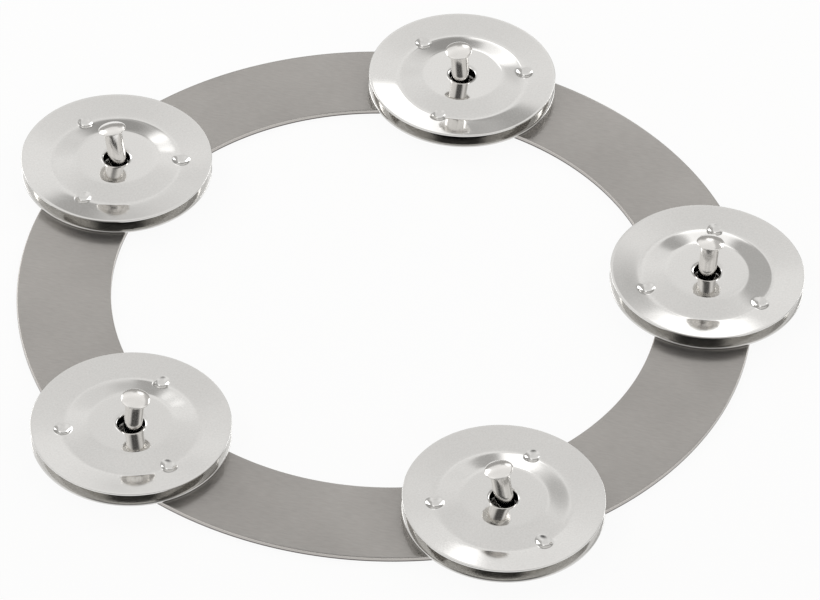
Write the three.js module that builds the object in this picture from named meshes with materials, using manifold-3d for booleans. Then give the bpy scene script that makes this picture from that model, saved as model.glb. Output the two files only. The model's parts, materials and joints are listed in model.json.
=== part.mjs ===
// Ching ring: a flat steel ring that lies on a cymbal around its bell. Headed pins are riveted
// through the band, and each pin carries a loose pair of pressed jingles, back to back.
// Millimetres, +Z up. The origin is the centre of the ring's underside.

import * as THREE from 'three';
import { mergeVertices, toCreasedNormals } from 'three/addons/utils/BufferGeometryUtils.js';
import Module from 'manifold-3d';

// Ring: a blanked plate with broken edges
const RING_OUTER_DIAMETER = 152.4;
const RING_INNER_DIAMETER = 113.4;
const RING_THICKNESS = 1.2;
const RING_EDGE_BREAK = 0.2;

// Pin: a shank with a low domed head, and a thinner tail that is peened flush under the ring. The
// pins stand a little outside the middle of the band.
const PIN_OFFSET = 0.35;
const SHANK_DIAMETER = 3.8;
const SHANK_LENGTH = 10.1;
const HEAD_OVERLAP = 0.1;
const HEAD_EDGE = 0.3;
const HEAD_CROWN = 0.55;
const TENON_DIAMETER = 2.6;
const TENON_LAND = 0.6;
const TAIL_RECESS = 0.05;

// Jingle: sheet steel pressed into a low dome with a flat top and a sloping shoulder, a crease around
// the shoulder's foot, and a flange outside the crease
const JINGLE_DIAMETER = 40.4;
const SHEET_THICKNESS = 0.4;
const CREASE_DIAMETER = 27.4;
const FLANGE_RISE = 1.05;
const DOME_RISE = 1;
const DOME_TOP_DIAMETER = 17;
const LIP_WIDTH = 0.8;
const LIP_DROP = 0.25;

// Dents: pressed into the crease, they stand out as nibs that keep the pair from sticking
const DENT_COUNT = 3;
const DENT_WIDTH = 3.2;
const NIB_HEIGHT = 0.4;

// Fits
const SEAT_GAP = 0.05;
const TENON_CLEARANCE = 0.1;
const HOLE_PLAY = 0.9;

// The pins, counter-clockwise from +Y. Each was set by hand: it stands up to a degree off its even
// place, and leans some degrees towards a direction in the ring's plane. Each pair lies at a turn
// of its own, and has slipped by a share of its holes' play along +X and +Y.
const PINS = [
  { offPlace: 0.2, lean: 5, towards: 193, turn: 22, slip: [-0.04, 0.47] },
  { offPlace: 0, lean: 14.5, towards: 143, turn: 16, slip: [-0.84, 0.32] },
  { offPlace: 1, lean: 4.7, towards: 16, turn: 80, slip: [-0.26, 0.26] },
  { offPlace: -0.4, lean: 12, towards: 167, turn: 79, slip: [-0.68, -0.1] },
  { offPlace: -0.1, lean: 8.4, towards: 88, turn: 95, slip: [0.11, 0.28] },
];
const FIRST_PIN_ANGLE = 90;

// Facets
const RING_SIDES = 96;
const JINGLE_SIDES = 36;
const PIN_SIDES = 18;
const DENT_SIDES = 9;
const CROWN_STEPS = 3;
const DENT_STEPS = 2;
const WELD_DISTANCE = 1e-4;
const CREASE_ANGLE = 25;
const OVERCUT = 1;

const steelPlate = new THREE.MeshStandardMaterial({ color: 0x9f9c98, metalness: 1, roughness: 0.5 });
const polishedSheet = new THREE.MeshStandardMaterial({ color: 0xd4d4d2, metalness: 1, roughness: 0.12 });
const platedPin = new THREE.MeshStandardMaterial({ color: 0xcac8c5, metalness: 1, roughness: 0.18 });

const radians = THREE.MathUtils.degToRad;
const ringOuter = RING_OUTER_DIAMETER / 2;
const ringInner = RING_INNER_DIAMETER / 2;
const pinCircle = (ringOuter + ringInner) / 2 + PIN_OFFSET;
const shankRadius = SHANK_DIAMETER / 2;
const tenonRadius = TENON_DIAMETER / 2;
const jingleRadius = JINGLE_DIAMETER / 2;
const creaseRadius = CREASE_DIAMETER / 2;
const domeTopRadius = DOME_TOP_DIAMETER / 2;

// The hole is wide enough for a level jingle on a leaning shank, and the head keeps it on
const pinSeat = RING_THICKNESS + SEAT_GAP;
const holeRadius = shankRadius + HOLE_PLAY;
const headRadius = holeRadius + HEAD_OVERLAP;

// The heights of the two creases: the lower jingle lies on the ring, and the upper one on its nibs
const pressDepth = Math.max(FLANGE_RISE, DOME_RISE) + SHEET_THICKNESS;
const lowerCrease = RING_THICKNESS + SEAT_GAP + pressDepth;
const upperCrease = lowerCrease + NIB_HEIGHT + SEAT_GAP;

const wasm = await Module();
wasm.setup();

// The geometry with its shared corners merged and its collapsed triangles dropped.
function weld(geometry) {
  geometry.deleteAttribute('normal');
  geometry.deleteAttribute('uv');
  const welded = mergeVertices(geometry, WELD_DISTANCE);
  const corners = welded.index.array;
  const kept = [];
  for (let i = 0; i < corners.length; i += 3) {
    const [a, b, c] = corners.slice(i, i + 3);
    if (a !== b && b !== c && c !== a) {
      kept.push(a, b, c);
    }
  }
  welded.setIndex(kept);
  return welded;
}

// A profile of [radius, height] points turned about +Z. The points run counter-clockwise.
function revolve(profile, sides) {
  const points = profile.map(([radius, height]) => new THREE.Vector2(radius, height));
  return weld(new THREE.LatheGeometry(points, sides).rotateX(Math.PI / 2));
}

function toSolid(geometry) {
  const mesh = new wasm.Mesh({
    numProp: 3,
    vertProperties: Float32Array.from(geometry.attributes.position.array),
    triVerts: Uint32Array.from(geometry.index.array),
  });
  return new wasm.Manifold(mesh);
}

function toGeometry(solid) {
  const mesh = solid.getMesh();
  const geometry = new THREE.BufferGeometry();
  geometry.setAttribute('position', new THREE.BufferAttribute(mesh.vertProperties, mesh.numProp));
  geometry.setIndex(new THREE.BufferAttribute(mesh.triVerts, 1));
  return geometry;
}

function namedMesh(name, geometry, material) {
  const mesh = new THREE.Mesh(toCreasedNormals(geometry, radians(CREASE_ANGLE)), material);
  mesh.name = name;
  return mesh;
}

// Evenly spaced numbers from first to last, both included.
function spread(first, last, steps) {
  return Array.from({ length: steps + 1 }, (_, i) => first + ((last - first) * i) / steps);
}

function pinAngle(index) {
  return radians(FIRST_PIN_ANGLE + (360 * index) / PINS.length + PINS[index].offPlace);
}

// The countersunk hole that a pin's tail fills: a 45-degree cone below a straight land.
function tailHole(angle) {
  const bore = tenonRadius + TENON_CLEARANCE;
  const coneTop = RING_THICKNESS - TENON_LAND;
  const profile = [
    [0, -OVERCUT],
    [bore + coneTop + OVERCUT, -OVERCUT],
    [bore, coneTop],
    [bore, RING_THICKNESS + OVERCUT],
    [0, RING_THICKNESS + OVERCUT],
  ];
  const cutter = revolve(profile, PIN_SIDES);
  cutter.translate(pinCircle * Math.cos(angle), pinCircle * Math.sin(angle), 0);
  return toSolid(cutter);
}

function ringGeometry() {
  const edge = RING_EDGE_BREAK;
  const profile = [
    [ringInner + edge, 0],
    [ringOuter - edge, 0],
    [ringOuter, edge],
    [ringOuter, RING_THICKNESS - edge],
    [ringOuter - edge, RING_THICKNESS],
    [ringInner + edge, RING_THICKNESS],
    [ringInner, RING_THICKNESS - edge],
    [ringInner, edge],
    [ringInner + edge, 0],
  ];
  let plate = toSolid(revolve(profile, RING_SIDES));
  PINS.forEach((_, index) => {
    plate = plate.subtract(tailHole(pinAngle(index)));
  });
  return toGeometry(plate);
}

// A shouldered rivet on its own axis. Everything above the shoulder then leans over as one piece.
function pinGeometry({ lean, towards }) {
  const coneTop = RING_THICKNESS - TENON_LAND;
  const underHead = pinSeat + SHANK_LENGTH;
  const crownFoot = underHead + HEAD_EDGE;
  const crown = spread(0, Math.PI / 2, CROWN_STEPS).map((a) => [
    headRadius * Math.cos(a),
    crownFoot + HEAD_CROWN * Math.sin(a),
  ]);
  const profile = [
    [0, TAIL_RECESS],
    [tenonRadius + coneTop - TAIL_RECESS, TAIL_RECESS],
    [tenonRadius, coneTop],
    [tenonRadius, pinSeat],
    [shankRadius, pinSeat],
    [shankRadius, underHead],
    [headRadius, underHead],
    ...crown,
  ];
  const geometry = revolve(profile, PIN_SIDES);
  const tiltAxis = new THREE.Vector3(-Math.sin(radians(towards)), Math.cos(radians(towards)), 0);
  const position = geometry.attributes.position;
  const point = new THREE.Vector3();
  for (let i = 0; i < position.count; i += 1) {
    point.fromBufferAttribute(position, i);
    if (point.z > pinSeat + WELD_DISTANCE) {
      point.z -= pinSeat;
      point.applyAxisAngle(tiltAxis, radians(lean));
      point.z += pinSeat;
      position.setXYZ(i, point.x, point.y, point.z);
    }
  }
  return geometry;
}

// The sheet's mating face as [radius, height above the crease] points: it dips into the hole, runs
// flat over the dome's top, falls to the crease and rises to the rim.
function matingFace() {
  return [
    [holeRadius, DOME_RISE - LIP_DROP],
    [holeRadius + LIP_WIDTH, DOME_RISE],
    [domeTopRadius, DOME_RISE],
    [creaseRadius, 0],
    [jingleRadius, FLANGE_RISE],
  ];
}

// A ball's lower cap with its lowest point at a height, cut off flat at another.
function ballCap(ballRadius, lowest, top) {
  const reach = Math.acos(1 - (top - lowest) / ballRadius);
  const arc = spread(0, reach, DENT_STEPS).map((a) => [
    ballRadius * Math.sin(a),
    lowest + ballRadius * (1 - Math.cos(a)),
  ]);
  return revolve([...arc, [0, top]], DENT_SIDES);
}

// One jingle with its crease at height 0 and its mating face down: the nibs are added below the
// crease, and the dents that form them are cut from above.
function jingleGeometry() {
  const under = matingFace();
  const over = under.map(([radius, height]) => [radius, height + SHEET_THICKNESS]).reverse();
  const profile = [...under, ...over, under[0]];
  let jingle = toSolid(revolve(profile, JINGLE_SIDES));
  const halfWidth = DENT_WIDTH / 2;
  const dentBall = (halfWidth ** 2 + NIB_HEIGHT ** 2) / (2 * NIB_HEIGHT);
  const nib = ballCap(dentBall + SHEET_THICKNESS, -NIB_HEIGHT, SHEET_THICKNESS);
  const dent = ballCap(dentBall, SHEET_THICKNESS - NIB_HEIGHT, SHEET_THICKNESS + FLANGE_RISE);
  nib.translate(creaseRadius, 0, 0);
  dent.translate(creaseRadius, 0, 0);
  const step = (2 * Math.PI) / DENT_COUNT;
  for (let i = 0; i < DENT_COUNT; i += 1) {
    jingle = jingle.add(toSolid(nib.clone().rotateZ(i * step)));
  }
  for (let i = 0; i < DENT_COUNT; i += 1) {
    jingle = jingle.subtract(toSolid(dent.clone().rotateZ(i * step)));
  }
  return toGeometry(jingle);
}

// A pin with its pair: the lower jingle is the same pressing turned over, with its nibs between
// those of the upper one.
function station(pin, index) {
  const group = new THREE.Group();
  group.position.set(pinCircle * Math.cos(pinAngle(index)), pinCircle * Math.sin(pinAngle(index)), 0);
  group.add(namedMesh(`pin_${index + 1}`, pinGeometry(pin), platedPin));

  const [slipX, slipY] = pin.slip;
  const pair = new THREE.Group();
  pair.position.set(slipX * HOLE_PLAY, slipY * HOLE_PLAY, 0);
  const upper = namedMesh(`upper_jingle_${index + 1}`, jingleGeometry(), polishedSheet);
  upper.position.z = upperCrease;
  upper.rotation.z = radians(pin.turn);
  const lower = namedMesh(`lower_jingle_${index + 1}`, jingleGeometry(), polishedSheet);
  lower.position.z = lowerCrease;
  lower.rotation.set(Math.PI, 0, radians(pin.turn + 180 / DENT_COUNT));
  pair.add(upper, lower);
  group.add(pair);
  return group;
}

const chingRing = new THREE.Group();
chingRing.add(namedMesh('ring', ringGeometry(), steelPlate));
PINS.forEach((pin, index) => chingRing.add(station(pin, index)));

export default chingRing;
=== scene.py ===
"""A ching ring: a flat steel ring with five headed pins, each carrying a loose pair of jingles.

Every piece is a surface worked out with numpy in millimetres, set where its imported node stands,
and written to its mesh in metres. The origin is the centre of the ring's underside, +Z up.
"""

import json

import bpy
import numpy as np
from mathutils import Matrix, Vector


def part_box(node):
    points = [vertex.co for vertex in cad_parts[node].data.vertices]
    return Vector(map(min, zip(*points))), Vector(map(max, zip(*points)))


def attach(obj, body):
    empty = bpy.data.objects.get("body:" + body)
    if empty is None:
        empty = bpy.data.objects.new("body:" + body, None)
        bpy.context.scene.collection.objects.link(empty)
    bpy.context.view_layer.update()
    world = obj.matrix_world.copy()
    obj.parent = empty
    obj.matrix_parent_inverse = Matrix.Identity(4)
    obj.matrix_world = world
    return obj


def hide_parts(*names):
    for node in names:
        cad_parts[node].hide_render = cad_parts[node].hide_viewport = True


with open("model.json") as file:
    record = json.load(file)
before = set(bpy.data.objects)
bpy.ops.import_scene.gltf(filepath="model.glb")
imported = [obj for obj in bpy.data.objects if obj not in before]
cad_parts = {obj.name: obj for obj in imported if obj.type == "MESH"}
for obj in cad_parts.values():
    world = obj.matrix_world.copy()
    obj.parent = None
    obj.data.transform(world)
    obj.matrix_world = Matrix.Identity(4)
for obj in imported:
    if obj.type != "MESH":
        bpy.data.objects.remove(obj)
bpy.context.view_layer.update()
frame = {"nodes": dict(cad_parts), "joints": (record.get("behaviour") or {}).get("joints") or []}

MM = 0.001
STATIONS = range(1, 6)
UP = 1
DOWN = -1

# Ring: a blanked plate with tumbled edges
RING_INNER_DIAMETER = 113.4
RING_EDGE_RADIUS = 0.28
RING_EDGE_STEPS = 6
RING_ROWS = 40
RING_ANGLES = 720
RING_SHARP_ANGLE = 35.0

# Pin: a shank with a low domed head, and a thinner tail peened flush in a countersunk hole
SHANK_DIAMETER = 3.8
SHANK_LENGTH = 10.1
SHANK_FILLET = 0.18
SHANK_ROWS = 24
HEAD_DIAMETER = 5.8
HEAD_EDGE = 0.3
HEAD_CROWN = 0.55
HEAD_ROUND = 0.12
CROWN_STEPS = 24
FILLET_STEPS = 4
TENON_DIAMETER = 2.6
TENON_LAND = 0.6
TENON_CLEARANCE = 0.1
TAIL_RECESS = 0.05
SEAT_GAP = 0.05
SEAT_TOLERANCE = 1e-6
PIN_ANGLES = 96
PIN_SHARP_ANGLE = 40.0
OVERCUT = 1.0
MERGE_DISTANCE = 1e-4

# Jingle: sheet pressed into a flat-topped dome, a crease around its foot and a flange outside the crease
JINGLE_DIAMETER = 40.4
SHEET_THICKNESS = 0.4
SHEET_EDGE_RADIUS = 0.13
SHEET_EDGE_STEPS = 4
HOLE_DIAMETER = 5.6
CREASE_DIAMETER = 27.4
CREASE_SOFTNESS = 0.16
CREASE_ZONE = 2.4
FLANGE_RISE = 1.05
DOME_RISE = 1.0
DOME_TOP_DIAMETER = 17.0
DOME_TOP_SOFTNESS = 0.05
LIP_WIDTH = 0.8
LIP_DROP = 0.25
LIP_ROWS = 8
DOME_ROWS = 18
CREASE_ROWS = 33
FLANGE_ROWS = 9
JINGLE_ANGLES = 288

# Dents: punched into the crease, they stand out below as nibs that keep the pair from sticking
DENT_COUNT = 3
DENT_BALL_RADIUS = 2.4
DENT_SOFTNESS = 0.03
NIB_HEIGHT = 0.4

# Finish of the plate: tones and roughness go from the dark or smooth end to the bright or rough one
PLATE_TONES = ("#918E8B", "#C7C4C0")
PLATE_ROUGHNESS = (0.18, 0.55)
PLATE_CLOUD_SIZE = 30.0
PLATE_CLOUD_DETAIL = 4.0
PITTED_SHARE = 0.5
ROLLING_MARK_SIZE = 0.4
ROLLING_MARK_DETAIL = 3.0
ROLLING_MARK_LENGTHENING = 5.0
ROLLING_MARK_SHARE = 0.35
ROLLING_MARK_DEPTH = 0.005
ROLLING_MARK_STRENGTH = 0.15
# The dark wall tone is the duller broken zone, darkened further by painted shade along the foot where the
# plate meets the floor
WALL_TONES = ("#676361", "#C0BCB8")
SHADE_AND_BURNISH_HEIGHTS = (0.4, 0.55)
# Painted highlight: a near-white tone laid on the rounded edges of the plate
EDGE_HIGHLIGHT_TONE = "#F3EFEB"
FACE_LEVELNESS = (0.3, 0.9)

# Finish of the sheet
SHEET_TONES = ("#D6D5D3", "#E8E7E5")
SHEET_ROUGHNESS = (0.04, 0.12)
SPECK_SIZE = 0.35
SPECK_DETAIL = 3.0
SPECK_DEPTH = 0.006
SPECK_STRENGTH = 0.1
SWELL_SIZE = 4.0
SWELL_DETAIL = 1.0
SWELL_DEPTH = 0.03
SWELL_STRENGTH = 0.2

# Finish of the pins
PIN_TONE = "#EFEDEA"
PIN_ROUGHNESS = (0.08, 0.2)
MOTTLE_SIZE = 0.5
MOTTLE_DETAIL = 3.0
MOTTLE_DEPTH = 0.01
MOTTLE_STRENGTH = 0.15

# Camera: a long lens, placed so that the ring lies in the frame as it does in the photograph
CAMERA_AZIMUTH = 12.94
CAMERA_ELEVATION = 43.5
CAMERA_ROLL = -2.0
CAMERA_DISTANCE = 1022.7
CAMERA_TARGET = (5.34, -0.02, 0.0)
CAMERA_LENS = 216.7
SENSOR_WIDTH = 36.0

# Studio: white paper, an even room, a wide soft light overhead and a small lamp on each side
FLOOR_HALF_SIZE = 30000.0
FLOOR_DROP = 0.02
FLOOR_GLOW = 0.92
PAPER_COLOUR = "#F8F7F5"
ROOM_COLOUR = "#FFFDFA"
ROOM_LEVEL = 0.375
SIDE_LAMP_PLACE = (470.0, 400.0, 270.0)
SIDE_LAMP_SIZE = (320.0, 240.0)
SIDE_LAMP_LEVEL = 2.6
LIGHT_HEIGHT = 450.0
LIGHT_HALF_SIZE = 2500.0
LIGHT_LEVEL = (0.445, 0.6)
LIGHT_CLOUD_SIZE = 350.0
LIGHT_CLOUD_DETAIL = 1.0
LIGHT_CLOUD_RANGE = (0.3, 0.7)

# Rectangles of the overhead light, along the camera's right and level line of sight, from the ring's centre
LIT_BANK = {
    "corners": ((-LIGHT_HALF_SIZE, -LIGHT_HALF_SIZE), (LIGHT_HALF_SIZE, 1030.0)),
    "softness": (100.0, 170.0),
    "inside": 1.0,
    "outside": 0.0,
}
DIM_CORNER = {
    "corners": ((226.0, 75.0), (LIGHT_HALF_SIZE, LIGHT_HALF_SIZE)),
    "softness": (28.0, 75.0),
    "inside": 0.28,
    "outside": 1.0,
}
DIM_BAND = {
    "corners": ((-110.0, 820.0), (20.0, 1010.0)),
    "softness": (30.0, 45.0),
    "inside": 0.2,
    "outside": 1.0,
}
CAMERA_OPENING = {
    "corners": ((-330.0, -740.0), (330.0, -160.0)),
    "softness": (120.0, 80.0),
    "inside": 0.1,
    "outside": 1.0,
}
BRIGHT_PATCH = {
    "corners": ((40.0, 818.0), (262.0, 1282.0)),
    "softness": (25.0, 55.0),
    "inside": 0.8,
    "outside": 0.0,
}
BRIGHT_STRIP = {
    "corners": ((85.0, 672.0), (160.0, 820.0)),
    "softness": (20.0, 20.0),
    "inside": 0.8,
    "outside": 0.0,
}

# Sockets of the Mix node, which has a set for each kind of data under the same names
MIX_SHARE = 0
MIX_FIRST_VALUE = 2
MIX_SECOND_VALUE = 3
MIX_VALUE = 0
MIX_FIRST_COLOUR = 6
MIX_SECOND_COLOUR = 7
MIX_COLOUR = 2


def linear(hex_colour):
    """The linear colour of an sRGB hex value, with full alpha."""
    channels = np.array([int(hex_colour[i : i + 2], 16) for i in (1, 3, 5)]) / 255
    dark = channels / 12.92
    bright = ((channels + 0.055) / 1.055) ** 2.4
    return (*np.where(channels <= 0.04045, dark, bright).tolist(), 1.0)


def per_metre(size):
    """How many times a pattern of that size in millimetres repeats in a metre."""
    return 1 / (size * MM)


def add_node(tree, kind, inputs=None, **settings):
    """Adds a node, sets its properties, and fills each input with a value or a link from a socket."""
    node = tree.nodes.new(kind)
    for name, value in settings.items():
        setattr(node, name, value)
    for key, value in (inputs or {}).items():
        if isinstance(value, bpy.types.NodeSocket):
            tree.links.new(value, node.inputs[key])
        else:
            node.inputs[key].default_value = value
    return node


def new_material(name):
    """An empty node material, with its output node."""
    material = bpy.data.materials.new(name)
    material.use_nodes = True
    material.node_tree.nodes.clear()
    output = add_node(material.node_tree, "ShaderNodeOutputMaterial")
    return material, material.node_tree, output


def tumbled_steel_plate():
    """Cold rolled steel, blanked and tumbled: satin grey faces, faintly clouded, with short fine rolling
    marks along X. The rounded edges carry a painted highlight, and on the blanked walls a burnished band
    stands over a dark lower band: the duller broken zone, darkened further by painted shade along the foot."""
    material, tree, output = new_material("tumbled_steel_plate")
    coordinates = add_node(tree, "ShaderNodeTexCoord")
    place = coordinates.outputs["Object"]
    cloud = add_node(
        tree,
        "ShaderNodeTexNoise",
        {"Vector": place, "Scale": per_metre(PLATE_CLOUD_SIZE), "Detail": PLATE_CLOUD_DETAIL},
    )
    # The rolling marks are some 0.05 mm apart, drawn eight times as coarse so that they show
    along_marks = add_node(
        tree, "ShaderNodeMapping", {"Vector": place, "Scale": (1 / ROLLING_MARK_LENGTHENING, 1.0, 1.0)}
    )
    marks = add_node(
        tree,
        "ShaderNodeTexNoise",
        {
            "Vector": along_marks.outputs["Vector"],
            "Scale": per_metre(ROLLING_MARK_SIZE),
            "Detail": ROLLING_MARK_DETAIL,
        },
    )
    uneven = add_node(
        tree,
        "ShaderNodeMix",
        {
            MIX_SHARE: ROLLING_MARK_SHARE,
            MIX_FIRST_VALUE: cloud.outputs["Fac"],
            MIX_SECOND_VALUE: marks.outputs["Fac"],
        },
    )
    darker_face, brighter_face = PLATE_TONES
    face_tone = add_node(
        tree,
        "ShaderNodeMix",
        {
            MIX_SHARE: uneven.outputs[MIX_VALUE],
            MIX_FIRST_COLOUR: linear(darker_face),
            MIX_SECOND_COLOUR: linear(brighter_face),
        },
        data_type="RGBA",
    )
    height = add_node(tree, "ShaderNodeSeparateXYZ", {"Vector": place})
    # Below the burnished band the walls darken: the broken zone, with painted shade along the foot where the
    # plate meets the floor
    band_start, band_end = SHADE_AND_BURNISH_HEIGHTS
    burnished = add_node(
        tree,
        "ShaderNodeMapRange",
        {"Value": height.outputs["Z"], "From Min": band_start * MM, "From Max": band_end * MM},
        interpolation_type="SMOOTHSTEP",
    )
    shaded_broken_tone, burnished_tone = WALL_TONES
    wall_tone = add_node(
        tree,
        "ShaderNodeMix",
        {
            MIX_SHARE: burnished.outputs["Result"],
            MIX_FIRST_COLOUR: linear(shaded_broken_tone),
            MIX_SECOND_COLOUR: linear(burnished_tone),
        },
        data_type="RGBA",
    )
    facing = add_node(tree, "ShaderNodeSeparateXYZ", {"Vector": coordinates.outputs["Normal"]})
    levelness = add_node(tree, "ShaderNodeMath", {0: facing.outputs["Z"]}, operation="ABSOLUTE")
    wall_end, face_start = FACE_LEVELNESS
    on_face = add_node(
        tree,
        "ShaderNodeMapRange",
        {"Value": levelness.outputs["Value"], "From Min": wall_end, "From Max": face_start},
        interpolation_type="SMOOTHSTEP",
    )
    plain_tone = add_node(
        tree,
        "ShaderNodeMix",
        {
            MIX_SHARE: on_face.outputs["Result"],
            MIX_FIRST_COLOUR: wall_tone.outputs[MIX_COLOUR],
            MIX_SECOND_COLOUR: face_tone.outputs[MIX_COLOUR],
        },
        data_type="RGBA",
    )
    # An edge is where the surface turns from wall to face, most where it is halfway
    turning = add_node(tree, "ShaderNodeMath", {0: on_face.outputs["Result"], 1: 0.5}, operation="PINGPONG")
    on_edge = add_node(tree, "ShaderNodeMath", {0: turning.outputs["Value"], 1: 2.0}, operation="MULTIPLY")
    # Painted highlight: the tone goes towards near white along the edges
    tone = add_node(
        tree,
        "ShaderNodeMix",
        {
            MIX_SHARE: on_edge.outputs["Value"],
            MIX_FIRST_COLOUR: plain_tone.outputs[MIX_COLOUR],
            MIX_SECOND_COLOUR: linear(EDGE_HIGHLIGHT_TONE),
        },
        data_type="RGBA",
    )
    relief = add_node(
        tree,
        "ShaderNodeBump",
        {
            "Height": marks.outputs["Fac"],
            "Strength": ROLLING_MARK_STRENGTH,
            "Distance": ROLLING_MARK_DEPTH * MM,
        },
    )
    # Smooth plateaus between tumbling pits: a narrow reflection over a wide one, narrow alone on the edges
    plateaus, pits = [
        add_node(
            tree,
            "ShaderNodeBsdfPrincipled",
            {
                "Base Color": tone.outputs[MIX_COLOUR],
                "Metallic": 1.0,
                "Roughness": roughness,
                "Normal": relief.outputs["Normal"],
            },
        )
        for roughness in PLATE_ROUGHNESS
    ]
    pitted = add_node(
        tree,
        "ShaderNodeMapRange",
        {"Value": on_edge.outputs["Value"], "To Min": PITTED_SHARE, "To Max": 0.0},
    )
    steel = add_node(
        tree,
        "ShaderNodeMixShader",
        {0: pitted.outputs["Result"], 1: plateaus.outputs["BSDF"], 2: pits.outputs["BSDF"]},
    )
    tree.links.new(steel.outputs["Shader"], output.inputs["Surface"])
    return material


def polished_stainless_sheet():
    """Stainless sheet, pressed and barrel polished: a mirror with a slight swell and fine specks."""
    material, tree, output = new_material("polished_stainless_sheet")
    place = add_node(tree, "ShaderNodeTexCoord").outputs["Object"]
    swell = add_node(
        tree,
        "ShaderNodeTexNoise",
        {"Vector": place, "Scale": per_metre(SWELL_SIZE), "Detail": SWELL_DETAIL},
    )
    # The specks are some 0.1 mm across, drawn over three times as coarse so that they show
    specks = add_node(
        tree,
        "ShaderNodeTexNoise",
        {"Vector": place, "Scale": per_metre(SPECK_SIZE), "Detail": SPECK_DETAIL},
    )
    smoothest, roughest = SHEET_ROUGHNESS
    gloss = add_node(
        tree,
        "ShaderNodeMapRange",
        {"Value": specks.outputs["Fac"], "To Min": smoothest, "To Max": roughest},
    )
    darker, brighter = SHEET_TONES
    tone = add_node(
        tree,
        "ShaderNodeMix",
        {
            MIX_SHARE: specks.outputs["Fac"],
            MIX_FIRST_COLOUR: linear(darker),
            MIX_SECOND_COLOUR: linear(brighter),
        },
        data_type="RGBA",
    )
    relief = add_node(
        tree,
        "ShaderNodeBump",
        {"Height": specks.outputs["Fac"], "Strength": SPECK_STRENGTH, "Distance": SPECK_DEPTH * MM},
    )
    waves = add_node(
        tree,
        "ShaderNodeBump",
        {
            "Height": swell.outputs["Fac"],
            "Strength": SWELL_STRENGTH,
            "Distance": SWELL_DEPTH * MM,
            "Normal": relief.outputs["Normal"],
        },
    )
    sheet = add_node(
        tree,
        "ShaderNodeBsdfPrincipled",
        {
            "Base Color": tone.outputs[MIX_COLOUR],
            "Metallic": 1.0,
            "Roughness": gloss.outputs["Result"],
            "Normal": waves.outputs["Normal"],
        },
    )
    tree.links.new(sheet.outputs["BSDF"], output.inputs["Surface"])
    return material


def nickel_plated_pin():
    """Turned steel with nickel plate: bright, a little softer than the sheet, with a faint mottle."""
    material, tree, output = new_material("nickel_plated_pin")
    place = add_node(tree, "ShaderNodeTexCoord").outputs["Object"]
    mottle = add_node(
        tree,
        "ShaderNodeTexNoise",
        {"Vector": place, "Scale": per_metre(MOTTLE_SIZE), "Detail": MOTTLE_DETAIL},
    )
    smoothest, roughest = PIN_ROUGHNESS
    gloss = add_node(
        tree,
        "ShaderNodeMapRange",
        {"Value": mottle.outputs["Fac"], "To Min": smoothest, "To Max": roughest},
    )
    relief = add_node(
        tree,
        "ShaderNodeBump",
        {"Height": mottle.outputs["Fac"], "Strength": MOTTLE_STRENGTH, "Distance": MOTTLE_DEPTH * MM},
    )
    nickel = add_node(
        tree,
        "ShaderNodeBsdfPrincipled",
        {
            "Base Color": linear(PIN_TONE),
            "Metallic": 1.0,
            "Roughness": gloss.outputs["Result"],
            "Normal": relief.outputs["Normal"],
        },
    )
    tree.links.new(nickel.outputs["BSDF"], output.inputs["Surface"])
    return material


def grid_faces(rows, columns, close_rows):
    """The four corners of each cell of a grid whose columns close on themselves."""
    row_count = rows if close_rows else rows - 1
    row, column = np.meshgrid(np.arange(row_count), np.arange(columns), indexing="ij")
    next_row = (row + 1) % rows
    next_column = (column + 1) % columns
    corners = [
        row * columns + column,
        row * columns + next_column,
        next_row * columns + next_column,
        next_row * columns + column,
    ]
    return np.stack(corners, axis=-1).reshape(-1, 4)


def surface_object(name, points, close_rows, material):
    """A mesh object of a grid of points in millimetres: rows by columns by three."""
    rows, columns, _ = points.shape
    faces = grid_faces(rows, columns, close_rows)
    mesh = bpy.data.meshes.new(name)
    mesh.from_pydata((points.reshape(-1, 3) * MM).tolist(), [], faces.tolist())
    mesh.polygons.foreach_set("use_smooth", np.ones(len(mesh.polygons), bool))
    mesh.materials.append(material)
    piece = bpy.data.objects.new(name, mesh)
    bpy.context.scene.collection.objects.link(piece)
    return piece


def turned(section, count):
    """A section of (radius, height) points turned about +Z: each point goes round a circle."""
    angle = 2 * np.pi * np.arange(count) / count
    radius = section[:, :1]
    height = np.broadcast_to(section[:, 1:], (len(section), count))
    return np.stack([radius * np.cos(angle), radius * np.sin(angle), height], axis=-1)


def arc(centre, radius, start, end, steps):
    """Points of an arc in the plane of a section, from one angle to another in degrees."""
    angle = np.radians(np.linspace(start, end, steps + 1))
    return np.stack([centre[0] + radius * np.cos(angle), centre[1] + radius * np.sin(angle)], axis=-1)


def plate_section(radii, thickness, edge, steps):
    """The closed section of a flat plate: its under and upper faces at given radii, joined at the hole and
    at the rim by straight walls, with an arc at each edge that starts where the faces end."""
    first = radii[0]
    last = radii[-1]
    low = edge
    high = thickness - edge
    under = np.stack([radii, np.zeros_like(radii)], axis=-1)
    over = np.stack([radii[::-1], np.full_like(radii, thickness)], axis=-1)
    rim_low = arc((last, low), edge, -90, 0, steps)[1:]
    rim_high = arc((last, high), edge, 0, 90, steps)[:-1]
    hole_high = arc((first, high), edge, 90, 180, steps)[1:]
    hole_low = arc((first, low), edge, 180, 270, steps)[:-1]
    return np.concatenate([under, rim_low, rim_high, over, hole_high, hole_low])


def stand_for(piece, node, body):
    """Sets a piece in the frame: it rides its body and replaces its node."""
    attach(piece, body)
    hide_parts(node)


def node_box(node):
    """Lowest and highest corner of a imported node, in millimetres."""
    low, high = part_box(node)
    return np.array(low) / MM, np.array(high) / MM


def node_points(node):
    """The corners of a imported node's mesh, in millimetres."""
    vertices = frame["nodes"][node].data.vertices
    places = np.empty(3 * len(vertices))
    vertices.foreach_get("co", places)
    return places.reshape(-1, 3) / MM


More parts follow.
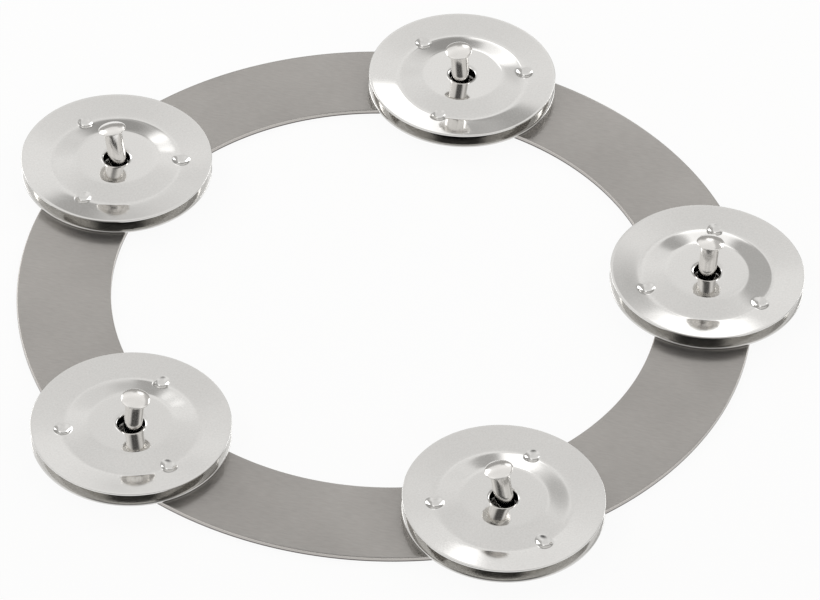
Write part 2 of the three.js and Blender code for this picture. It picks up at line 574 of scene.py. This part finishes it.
ring_low, ring_high = node_box("ring")
ring_outer = ring_high[0]
ring_inner = RING_INNER_DIAMETER / 2
ring_thickness = ring_high[2] - ring_low[2]
pin_seat = ring_thickness + SEAT_GAP
tenon_radius = TENON_DIAMETER / 2
cone_top = ring_thickness - TENON_LAND
hole_radius = HOLE_DIAMETER / 2
crease_radius = CREASE_DIAMETER / 2
rim_radius = JINGLE_DIAMETER / 2
press_depth = FLANGE_RISE + SHEET_THICKNESS
pair_axes = {
    joint["child"]: np.array(joint["pos_m"][:2]) / MM
    for joint in frame["joints"]
    if joint["type"] == "hinge"
}


def pin_line(station):
    """The foot of a pin and the direction of its shank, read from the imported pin's tail and head."""
    corners = node_points(f"pin_{station}")
    foot = corners[corners[:, 2] < cone_top].mean(axis=0)[:2]
    seat = np.array([*foot, pin_seat])
    reach = np.linalg.norm(corners - seat, axis=1)
    along = corners[reach > SHANK_LENGTH / 2].mean(axis=0) - seat
    return foot, along / np.linalg.norm(along)


def tail_cutter(station):
    """The countersunk hole of a pin's tail: a 45-degree cone below a straight bore."""
    bore = tenon_radius + TENON_CLEARANCE
    bottom = -OVERCUT
    top = ring_thickness + OVERCUT
    section = np.array(
        [
            [0, bottom],
            [bore + cone_top - bottom, bottom],
            [bore, cone_top],
            [bore, top],
            [0, top],
        ]
    )
    points = turned(section, PIN_ANGLES)
    foot, _ = pin_line(station)
    points[..., :2] += foot
    return points


def apply_modifiers(piece):
    """Puts what the modifiers make of a piece into its mesh."""
    bpy.context.view_layer.update()
    graph = bpy.context.evaluated_depsgraph_get()
    mesh = bpy.data.meshes.new_from_object(piece.evaluated_get(graph))
    piece.modifiers.clear()
    piece.data = mesh


def merge_doubles(piece):
    """Merges the points that fall together, such as those of a pole."""
    modifier = piece.modifiers.new("poles", "WELD")
    modifier.merge_threshold = MERGE_DISTANCE * MM
    apply_modifiers(piece)


def make_ring(material):
    """The plate, a flat section with rounded edges turned about +Z, and five countersunk holes through it."""
    radii = np.linspace(ring_inner + RING_EDGE_RADIUS, ring_outer - RING_EDGE_RADIUS, RING_ROWS)
    section = plate_section(radii, ring_thickness, RING_EDGE_RADIUS, RING_EDGE_STEPS)
    plate = surface_object("blanked_plate", turned(section, RING_ANGLES), True, material)
    cutters = []
    for station in STATIONS:
        cutter = surface_object(f"cutter_{station}", tail_cutter(station), False, material)
        merge_doubles(cutter)
        cut = plate.modifiers.new(cutter.name, "BOOLEAN")
        cut.operation = "DIFFERENCE"
        cut.solver = "EXACT"
        cut.object = cutter
        cutters.append(cutter)
    apply_modifiers(plate)
    for cutter in cutters:
        bpy.data.objects.remove(cutter)
    plate.data.set_sharp_from_angle(angle=np.radians(RING_SHARP_ANGLE))
    stand_for(plate, "ring", "ring")


def pin_section():
    """The pin's section from its tail up: cone, tenon, shank, head and a crown of an arc."""
    shank = SHANK_DIAMETER / 2
    head = HEAD_DIAMETER / 2
    under_head = pin_seat + SHANK_LENGTH
    edge_top = under_head + HEAD_EDGE
    crown_radius = (head**2 + HEAD_CROWN**2) / (2 * HEAD_CROWN)
    crown_start = 90 - np.degrees(np.arcsin(head / crown_radius))
    tail = [
        [0, TAIL_RECESS],
        [tenon_radius + cone_top - TAIL_RECESS, TAIL_RECESS],
        [tenon_radius, cone_top],
        [tenon_radius, pin_seat],
        [shank - SHANK_FILLET, pin_seat],
    ]
    foot = arc((shank - SHANK_FILLET, pin_seat + SHANK_FILLET), SHANK_FILLET, -90, 0, FILLET_STEPS)
    wall_heights = np.linspace(pin_seat + 2 * SHANK_FILLET, under_head - 2 * SHANK_FILLET, SHANK_ROWS)
    wall = np.stack([np.full(SHANK_ROWS, shank), wall_heights], axis=-1)
    neck = arc((shank + SHANK_FILLET, under_head - SHANK_FILLET), SHANK_FILLET, 180, 90, FILLET_STEPS)
    edge = head - HEAD_ROUND
    low_edge = arc((edge, under_head + HEAD_ROUND), HEAD_ROUND, -90, 0, FILLET_STEPS)
    high_edge = arc((edge, edge_top - HEAD_ROUND), HEAD_ROUND, 0, crown_start, FILLET_STEPS)
    crown = arc((0, edge_top + HEAD_CROWN - crown_radius), crown_radius, crown_start, 90, CROWN_STEPS)
    crown = crown[crown[:, 0] < edge]
    return np.concatenate([tail, foot, wall, neck, low_edge, high_edge, crown])


def lean_over(points, direction):
    """Leans what stands above the seat from upright to a direction: distance along the lean and height turn
    together about the seat's centre, and distance across the lean stays."""
    sine = np.linalg.norm(direction[:2])
    cosine = direction[2]
    towards = direction[:2] / sine
    height = points[..., 2] - pin_seat
    along = points[..., :2] @ towards
    leaned_along = along * cosine + height * sine
    leaned_height = height * cosine - along * sine
    shift = (leaned_along - along)[..., None] * towards
    leaned = np.concatenate([points[..., :2] + shift, leaned_height[..., None] + pin_seat], axis=-1)
    above = height[..., None] > SEAT_TOLERANCE
    return np.where(above, leaned, points)


def make_pin(station, material):
    """A headed pin on the band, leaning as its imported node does."""
    foot, direction = pin_line(station)
    points = lean_over(turned(pin_section(), PIN_ANGLES), direction)
    points[..., :2] += foot
    pin = surface_object(f"headed_pin_{station}", points, False, material)
    merge_doubles(pin)
    pin.data.set_sharp_from_angle(angle=np.radians(PIN_SHARP_ANGLE))
    stand_for(pin, f"pin_{station}", "ring")


def soft_larger(first, second, softness):
    """The larger of two heights, with the corner between them rounded: half of their sum and of the root of
    the gap squared plus the softness squared."""
    gap = first - second
    return (first + second + np.sqrt(gap**2 + softness**2)) / 2


def sheet_height(radius):
    """Height of the mating face above the crease: a flat top that rolls over into the hole, and two
    cones, the shoulder and the flange, with rounded corners between them."""
    shoulder = DOME_RISE * (crease_radius - radius) / (crease_radius - DOME_TOP_DIAMETER / 2)
    dome = -soft_larger(-shoulder, -DOME_RISE, DOME_TOP_SOFTNESS)
    flange = FLANGE_RISE * (radius - crease_radius) / (rim_radius - crease_radius)
    to_lip = np.clip((hole_radius + LIP_WIDTH - radius) / LIP_WIDTH, 0, None)
    return soft_larger(dome, flange, CREASE_SOFTNESS) - LIP_DROP * to_lip**2


def dent_height(x, y):
    """Height of the dents' bowls above the crease: the squared distance from the nearest dent's centre over
    twice the radius of the punch, less the height of a nib."""
    angle = 2 * np.pi * np.arange(DENT_COUNT) / DENT_COUNT
    places = crease_radius * np.stack([np.cos(angle), np.sin(angle)], axis=-1)
    away = np.min([(x - place[0]) ** 2 + (y - place[1]) ** 2 for place in places], axis=0)
    return away / (2 * DENT_BALL_RADIUS) - NIB_HEIGHT


def pressed_sheet():
    """A jingle with its crease in the plane z = 0: the section of a flat disc turned about +Z, then lifted
    at each point to the height of the pressed sheet, or lowered to a dent's bowl."""
    lip_end = hole_radius + LIP_WIDTH
    zone_start = crease_radius - CREASE_ZONE
    zone_end = crease_radius + CREASE_ZONE
    radii = np.concatenate(
        [
            np.linspace(hole_radius + SHEET_EDGE_RADIUS, lip_end, LIP_ROWS)[:-1],
            np.linspace(lip_end, zone_start, DOME_ROWS)[:-1],
            np.linspace(zone_start, zone_end, CREASE_ROWS)[:-1],
            np.linspace(zone_end, rim_radius - SHEET_EDGE_RADIUS, FLANGE_ROWS),
        ]
    )
    section = plate_section(radii, SHEET_THICKNESS, SHEET_EDGE_RADIUS, SHEET_EDGE_STEPS)
    points = turned(section, JINGLE_ANGLES)
    pressed = sheet_height(section[:, 0])[:, None]
    bowls = dent_height(points[..., 0], points[..., 1])
    points[..., 2] -= soft_larger(-pressed, -bowls, DENT_SOFTNESS)
    return points


def turn_about_axis(points, angle):
    """Turns points about +Z by an angle: x and y mix by its cosine and sine."""
    x = points[..., 0] * np.cos(angle) - points[..., 1] * np.sin(angle)
    y = points[..., 0] * np.sin(angle) + points[..., 1] * np.cos(angle)
    return np.stack([x, y, points[..., 2]], axis=-1)


def make_jingle(node, axis, facing, material, sheet):
    """A jingle on its axis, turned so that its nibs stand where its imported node's do. Facing up it has its
    dome up, and facing down it is the same pressing turned over."""
    low, high = node_box(node)
    crease_height = high[2] - press_depth if facing == UP else low[2] + press_depth
    corners = node_points(node)
    nib = corners[np.argmin(facing * corners[:, 2])][:2] - axis
    points = sheet * [1, facing, facing]
    points = turn_about_axis(points, np.arctan2(nib[1], nib[0]))
    points = points + [*axis, crease_height]
    name = node.replace("jingle", "pressing")
    piece = surface_object(name, points, True, material)
    stand_for(piece, node, node)


plate_steel = tumbled_steel_plate()
pin_nickel = nickel_plated_pin()
jingle_stainless = polished_stainless_sheet()
sheet_points = pressed_sheet()

make_ring(plate_steel)
for station in STATIONS:
    make_pin(station, pin_nickel)
    pair_axis = pair_axes[f"lower_jingle_{station}"]
    make_jingle(f"upper_jingle_{station}", pair_axis, UP, jingle_stainless, sheet_points)
    make_jingle(f"lower_jingle_{station}", pair_axis, DOWN, jingle_stainless, sheet_points)


def camera_axes():
    """The camera's right, forward and level forward directions, before it is rolled."""
    azimuth = np.radians(CAMERA_AZIMUTH)
    elevation = np.radians(CAMERA_ELEVATION)
    right = np.array([np.cos(azimuth), np.sin(azimuth), 0])
    level = np.array([-np.sin(azimuth), np.cos(azimuth), 0])
    forward = level * np.cos(elevation) - np.array([0, 0, np.sin(elevation)])
    return right, forward, level


def make_camera():
    """The camera looks at its target from its distance, rolled a little about its line of sight."""
    right, forward, _ = camera_axes()
    down = np.cross(forward, right)
    roll = np.radians(CAMERA_ROLL)
    across = np.cos(roll) * right + np.sin(roll) * down
    upward = np.sin(roll) * right - np.cos(roll) * down
    place = (np.array(CAMERA_TARGET) - CAMERA_DISTANCE * forward) * MM
    camera = bpy.data.objects.new("camera", bpy.data.cameras.new("camera"))
    camera.data.lens = CAMERA_LENS
    camera.data.sensor_width = SENSOR_WIDTH
    matrix = np.eye(4)
    matrix[:3, 0] = across
    matrix[:3, 1] = upward
    matrix[:3, 2] = -forward
    matrix[:3, 3] = place
    camera.matrix_world = Matrix(matrix.tolist())
    bpy.context.scene.collection.objects.link(camera)
    bpy.context.scene.camera = camera


def level_square(name, half_size, height, facing, material):
    """A level square about the origin at a height, facing up or down."""
    half = half_size * MM
    level = height * MM
    corners = [(-half, -half, level), (half, -half, level), (half, half, level), (-half, half, level)]
    mesh = bpy.data.meshes.new(name)
    mesh.from_pydata(corners[::facing], [], [(0, 1, 2, 3)])
    mesh.materials.append(material)
    square = bpy.data.objects.new(name, mesh)
    bpy.context.scene.collection.objects.link(square)
    return square


def make_floor():
    """White paper: it glows for the camera and in the metal, and still takes a soft shadow. From below
    it is clear, so that the ring's underside can be seen."""
    material, tree, output = new_material("white_paper")
    path = add_node(tree, "ShaderNodeLightPath")
    seen = path.outputs["Is Camera Ray"]
    for ray in ("Is Glossy Ray", "Is Transmission Ray"):
        either = add_node(tree, "ShaderNodeMath", {0: seen, 1: path.outputs[ray]}, operation="MAXIMUM")
        seen = either.outputs["Value"]
    share = add_node(tree, "ShaderNodeMath", {0: seen, 1: FLOOR_GLOW}, operation="MULTIPLY")
    paper = add_node(tree, "ShaderNodeBsdfDiffuse", {"Color": linear(PAPER_COLOUR)})
    glow = add_node(tree, "ShaderNodeEmission", {"Color": (1, 1, 1, 1), "Strength": 1.0})
    blend = add_node(
        tree,
        "ShaderNodeMixShader",
        {0: share.outputs["Value"], 1: paper.outputs["BSDF"], 2: glow.outputs["Emission"]},
    )
    below = add_node(tree, "ShaderNodeNewGeometry").outputs["Backfacing"]
    clear = add_node(tree, "ShaderNodeBsdfTransparent")
    one_sided = add_node(
        tree, "ShaderNodeMixShader", {0: below, 1: blend.outputs["Shader"], 2: clear.outputs["BSDF"]}
    )
    tree.links.new(one_sided.outputs["Shader"], output.inputs["Surface"])
    floor = level_square("floor", FLOOR_HALF_SIZE, -FLOOR_DROP, UP, material)


def make_world():
    """A dim, even room, a little warm."""
    world = bpy.data.worlds.new("studio")
    bpy.context.scene.world = world
    world.use_nodes = True
    background = world.node_tree.nodes["Background"]
    background.inputs["Color"].default_value = linear(ROOM_COLOUR)
    background.inputs["Strength"].default_value = ROOM_LEVEL


def soft_rectangle(tree, distances, corners, softness, inside, outside):
    """One level inside a rectangle and another outside it, given its left near and right far corners. Along
    each axis the distance out of the nearer side fades the rectangle smoothly, within the softness on
    either hand, and the two axes multiply."""
    fades = []
    for distance, low, high, soft in zip(distances, *corners, softness):
        before = add_node(tree, "ShaderNodeMath", {0: low, 1: distance}, operation="SUBTRACT")
        after = add_node(tree, "ShaderNodeMath", {0: distance, 1: high}, operation="SUBTRACT")
        out = add_node(
            tree,
            "ShaderNodeMath",
            {0: before.outputs["Value"], 1: after.outputs["Value"]},
            operation="MAXIMUM",
        )
        fade = add_node(
            tree,
            "ShaderNodeMapRange",
            {
                "Value": out.outputs["Value"],
                "From Min": -soft,
                "From Max": soft,
                "To Min": 1.0,
                "To Max": 0.0,
            },
            interpolation_type="SMOOTHSTEP",
        )
        fades.append(fade.outputs["Result"])
    both = add_node(tree, "ShaderNodeMath", dict(enumerate(fades)), operation="MULTIPLY")
    level = add_node(
        tree, "ShaderNodeMapRange", {"Value": both.outputs["Value"], "To Min": outside, "To Max": inside}
    )
    return level.outputs["Result"]


def make_overhead_light():
    """A level cloth of light, almost even: it ends softly at its far side, has two dim places and two bright
    ones, and is nearly dark around the camera."""
    right, _, ahead = camera_axes()
    material, tree, output = new_material("diffuser_cloth")
    place = add_node(tree, "ShaderNodeTexCoord").outputs["Object"]
    distances = [
        add_node(
            tree, "ShaderNodeVectorMath", {0: place, 1: (axis / MM).tolist()}, operation="DOT_PRODUCT"
        ).outputs["Value"]
        for axis in (right, ahead)
    ]
    cloud = add_node(
        tree,
        "ShaderNodeTexNoise",
        {"Vector": place, "Scale": per_metre(LIGHT_CLOUD_SIZE), "Detail": LIGHT_CLOUD_DETAIL},
    )
    thinnest, thickest = LIGHT_CLOUD_RANGE
    dimmest, brightest = LIGHT_LEVEL
    cloudy = add_node(
        tree,
        "ShaderNodeMapRange",
        {
            "Value": cloud.outputs["Fac"],
            "From Min": thinnest,
            "From Max": thickest,
            "To Min": dimmest,
            "To Max": brightest,
        },
        interpolation_type="SMOOTHSTEP",
    )
    strength = cloudy.outputs["Result"]
    opening = soft_rectangle(tree, distances, **CAMERA_OPENING)
    dimmers = [soft_rectangle(tree, distances, **dim) for dim in (LIT_BANK, DIM_CORNER, DIM_BAND)]
    for share in (opening, *dimmers):
        dimmed = add_node(tree, "ShaderNodeMath", {0: strength, 1: share}, operation="MULTIPLY")
        strength = dimmed.outputs["Value"]
    for bright in (BRIGHT_PATCH, BRIGHT_STRIP):
        patch = soft_rectangle(tree, distances, **bright)
        lit = add_node(tree, "ShaderNodeMath", {0: strength, 1: patch}, operation="ADD")
        strength = lit.outputs["Value"]
    glow = add_node(tree, "ShaderNodeEmission", {"Strength": strength})
    clear = add_node(tree, "ShaderNodeBsdfTransparent", {"Color": opening})
    cloth = add_node(tree, "ShaderNodeAddShader", {0: glow.outputs["Emission"], 1: clear.outputs["BSDF"]})
    tree.links.new(cloth.outputs["Shader"], output.inputs["Surface"])
    light = level_square("overhead_light", LIGHT_HALF_SIZE, LIGHT_HEIGHT, DOWN, material)
    light.visible_camera = False
    light.visible_shadow = False


def make_side_lamp(side):
    """A soft panel on one side (1 right, -1 left), facing the ring. Its level is its radiance."""
    right, _, ahead = camera_axes()
    across, beyond, height = SIDE_LAMP_PLACE
    place = side * across * right + beyond * ahead + np.array([0, 0, height])
    width, tall = np.array(SIDE_LAMP_SIZE) * MM
    lamp = bpy.data.lights.new(f"side_lamp_{side}", "AREA")
    lamp.shape = "RECTANGLE"
    lamp.size = width
    lamp.size_y = tall
    lamp.energy = SIDE_LAMP_LEVEL * np.pi * width * tall
    holder = bpy.data.objects.new(lamp.name, lamp)
    holder.location = (place * MM).tolist()
    holder.rotation_euler = Vector((-place).tolist()).to_track_quat("-Z", "Y").to_euler()
    holder.visible_camera = False
    bpy.context.scene.collection.objects.link(holder)


make_camera()
make_floor()
make_world()
make_overhead_light()
for side in (-1, 1):
    make_side_lamp(side)
bpy.context.scene.view_settings.view_transform = "Standard"
